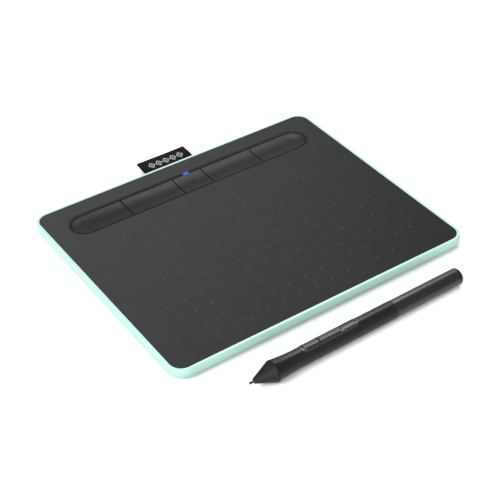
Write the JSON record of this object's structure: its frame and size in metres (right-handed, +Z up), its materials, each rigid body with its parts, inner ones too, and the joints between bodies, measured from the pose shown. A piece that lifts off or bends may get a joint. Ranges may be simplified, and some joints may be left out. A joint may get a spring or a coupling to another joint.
{
  "type": "pen drawing tablet",
  "caption": "Flat drawing tablet in a two-part shell, with sprung keys in a pen tray, a ribbon pen loop and a loose battery-free pen with side switches and nib store.",
  "frame": {"origin": "on the desk under the centre of the tablet's outline", "axes": "+Z up; +X to the right along the tablet's long side; +Y to the rear edge with the key tray and the pen loop"},
  "size_m": [0.202, 0.2087, 0.0128],
  "materials": {
    "mint_shell": "satin moulded plastic",
    "black_cover": "fine matt texture with a grid of small lighter dots",
    "rubber": "matt",
    "screw_steel": "blackened",
    "board": "green solder mask",
    "shield_metal": "rolled sheet",
    "polyimide": "amber film",
    "connector_plastic": "moulded",
    "sheet_steel": "stamped",
    "chip": "moulded package",
    "lead_insulation": "extruded",
    "battery_foil": "foil pouch",
    "inner_plastic": "moulded",
    "key_plastic": "satin moulded plastic",
    "plunger_plastic": "moulded",
    "status_lens": "translucent, lit blue",
    "led_package": "clear resin",
    "ribbon": "narrow woven ribbon",
    "nib_plastic": "acetal",
    "pen_grip": "soft-touch coating",
    "pen_bezel": "satin moulded plastic",
    "pen_button": "satin moulded plastic",
    "ferrite": "sintered",
    "copper_coil": "enamelled wire",
    "pen_rear": "semi-gloss moulded plastic",
    "pen_cap": "polished"
  },
  "bodies": {
    "root": {"bottom_shell": "mint_shell", "top_cover": "black_cover", "foot_front_left": "rubber", "foot_front_right": "rubber", "foot_rear_left": "rubber", "foot_rear_right": "rubber", "case_screws": "screw_steel", "sensor_board": "board", "shield_plate": "shield_metal", "sensor_flex_cable": "polyimide", "controller_board": "board", "board_screws": "screw_steel", "flex_connector": "connector_plastic", "radio_shield_can": "sheet_steel", "processor_chip": "chip", "battery_connector": "connector_plastic", "battery_lead": "lead_insulation", "battery_pouch": "battery_foil", "usb_port_shell": "sheet_steel", "usb_port_tongue": "chip", "key_guide_frame": "inner_plastic", "key_switch_bodies": "connector_plastic", "status_light_lens": "status_lens", "status_led": "led_package", "pen_loop_tail": "ribbon", "pen_loop_clamp": "inner_plastic"},
    "key_1": {"express_key_1": "key_plastic", "key_plunger_1": "plunger_plastic"},
    "key_2": {"express_key_2": "key_plastic", "key_plunger_2": "plunger_plastic"},
    "power_key": {"power_button": "key_plastic", "power_plunger": "plunger_plastic"},
    "key_3": {"express_key_3": "key_plastic", "key_plunger_3": "plunger_plastic"},
    "key_4": {"express_key_4": "key_plastic", "key_plunger_4": "plunger_plastic"},
    "loop": {"pen_loop": "ribbon"},
    "pen": {"pen_nose_cone": "pen_grip", "pen_grip_barrel": "pen_grip", "pen_switch_bezel": "pen_bezel", "pen_ferrite_core": "ferrite", "pen_coil": "copper_coil", "pen_pressure_sensor": "shield_metal", "pen_chassis": "inner_plastic", "pen_circuit_board": "board", "pen_switch_domes": "sheet_steel", "pen_nib_nest": "inner_plastic", "spare_nibs": "nib_plastic"},
    "nib": {"pen_nib": "nib_plastic", "pen_nib_holder": "shield_metal"},
    "front_switch": {"pen_front_switch": "pen_button"},
    "rear_switch": {"pen_rear_switch": "pen_button"},
    "rear_barrel": {"pen_rear_barrel": "pen_rear", "pen_end_cap": "pen_cap"}
  },
  "joints": [
    {"name": "express_key_1_press", "type": "slide", "parent": "root", "child": "key_1", "axis": [0, 0, -1], "range_m": [0, 0.0004], "stiffness_N_per_m": 600},
    {"name": "express_key_2_press", "type": "slide", "parent": "root", "child": "key_2", "axis": [0, 0, -1], "range_m": [0, 0.0004], "stiffness_N_per_m": 600},
    {"name": "power_button_press", "type": "slide", "parent": "root", "child": "power_key", "axis": [0, 0, -1], "range_m": [0, 0.0003], "stiffness_N_per_m": 600},
    {"name": "express_key_3_press", "type": "slide", "parent": "root", "child": "key_3", "axis": [0, 0, -1], "range_m": [0, 0.0004], "stiffness_N_per_m": 600},
    {"name": "express_key_4_press", "type": "slide", "parent": "root", "child": "key_4", "axis": [0, 0, -1], "range_m": [0, 0.0004], "stiffness_N_per_m": 600},
    {"name": "loop_flex", "type": "hinge", "parent": "root", "child": "loop", "pos_m": [0, 0.0807, 0.0032], "axis": [1, 0, 0], "range_deg": [-6, 45], "stiffness_Nm_per_rad": 0.004},
    {"name": "pen_lift", "type": "slide", "parent": "root", "child": "pen", "axis": [0, 0, 1], "range_m": [0, 0.15]},
    {"name": "nib_press", "type": "slide", "parent": "pen", "child": "nib", "axis": [0.9998, 0.0192, -0.0096], "range_m": [0, 0.0003], "stiffness_N_per_m": 3000},
    {"name": "pen_front_switch_press", "type": "slide", "parent": "pen", "child": "front_switch", "axis": [-0.0054, -0.2081, -0.9781], "range_m": [0, 0.00035], "stiffness_N_per_m": 900},
    {"name": "pen_rear_switch_press", "type": "slide", "parent": "pen", "child": "rear_switch", "axis": [-0.0054, -0.2081, -0.9781], "range_m": [0, 0.00035], "stiffness_N_per_m": 900},
    {"name": "pen_rear_barrel_pull", "type": "slide", "parent": "pen", "child": "rear_barrel", "axis": [0.9998, 0.0192, -0.0096], "range_m": [0, 0.055]}
  ]
}
